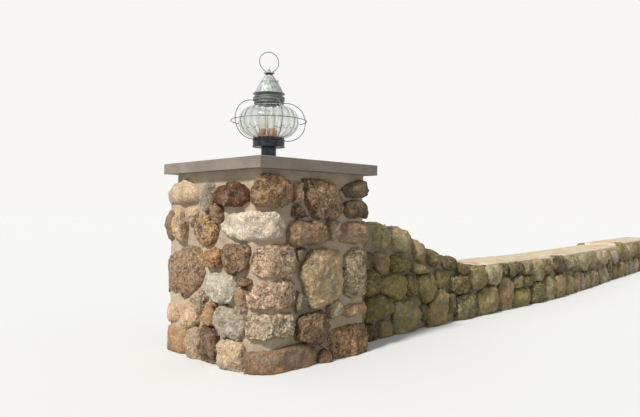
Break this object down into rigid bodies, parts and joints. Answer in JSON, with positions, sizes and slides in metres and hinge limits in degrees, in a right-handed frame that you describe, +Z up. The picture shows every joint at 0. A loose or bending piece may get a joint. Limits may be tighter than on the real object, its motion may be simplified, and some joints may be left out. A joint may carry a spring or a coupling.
{
  "type": "fieldstone garden wall with pier and lantern",
  "caption": "Fieldstone garden wall: a square stone pier with a slab cap and an onion lantern, and a wall that sweeps down from it and runs on in low bays.",
  "frame": {"origin": "the middle of the pier's base, on the lowest ground", "axes": "+Z up, +X along the wall away from the pier, -Y out of the wall's front"},
  "size_m": [7.3891, 1.0147, 1.5008],
  "materials": {
    "pier_stone": "rounded granite fieldstones, tan, pink, rust and grey, rough",
    "wall_stone": "rounded fieldstones, grey-tan with green lichen, rough",
    "coping_stone": "upright rounded coping stones, pale grey-tan, rough",
    "mortar": "sandy beige lime mortar, struck by hand",
    "slab": "sawn grey-brown sandstone slab, fine grain",
    "dark_bronze": "dark aged bronze, satin",
    "copper": "dull copper",
    "candle_white": "off-white candle sleeve",
    "bulb_glass": "clear bulb glass",
    "globe_glass": "clear ribbed optic glass",
    "verdigris": "weathered grey-green metal, satin"
  },
  "bodies": {
    "root": {"pier_body": "pier_stone", "pier_neck": "mortar", "pier_cap": "slab", "shoulder_wall": "wall_stone", "shoulder_coping": "coping_stone", "sweep_wall": "wall_stone", "sweep_coping": "coping_stone", "low_wall_1": "wall_stone", "low_wall_2": "wall_stone", "low_wall_3": "wall_stone", "low_wall_4": "wall_stone", "low_wall_5": "wall_stone", "low_wash_1": "mortar", "low_wash_2": "mortar", "low_wash_3": "mortar", "low_wash_4": "mortar", "low_wash_5": "mortar", "post_flange": "dark_bronze", "post": "dark_bronze", "base_drum": "dark_bronze", "globe_gallery": "dark_bronze", "candle_base": "copper", "candle_sleeve_1": "candle_white", "candle_sleeve_2": "candle_white", "candle_sleeve_3": "candle_white", "bulb_1": "bulb_glass", "bulb_2": "bulb_glass", "bulb_3": "bulb_glass", "glass_globe": "globe_glass", "globe_collar": "verdigris", "collar_bead": "verdigris", "roof_band": "verdigris", "roof_skirt": "verdigris", "roof_crown": "verdigris", "vent_neck": "dark_bronze", "vent_cap": "verdigris", "finial": "verdigris", "hanging_ring": "verdigris", "guard_ring": "verdigris", "guard_wire_1": "verdigris", "guard_wire_2": "verdigris", "guard_wire_3": "verdigris", "guard_wire_4": "verdigris", "thumb_nut": "verdigris"}
  },
  "joints": []
}
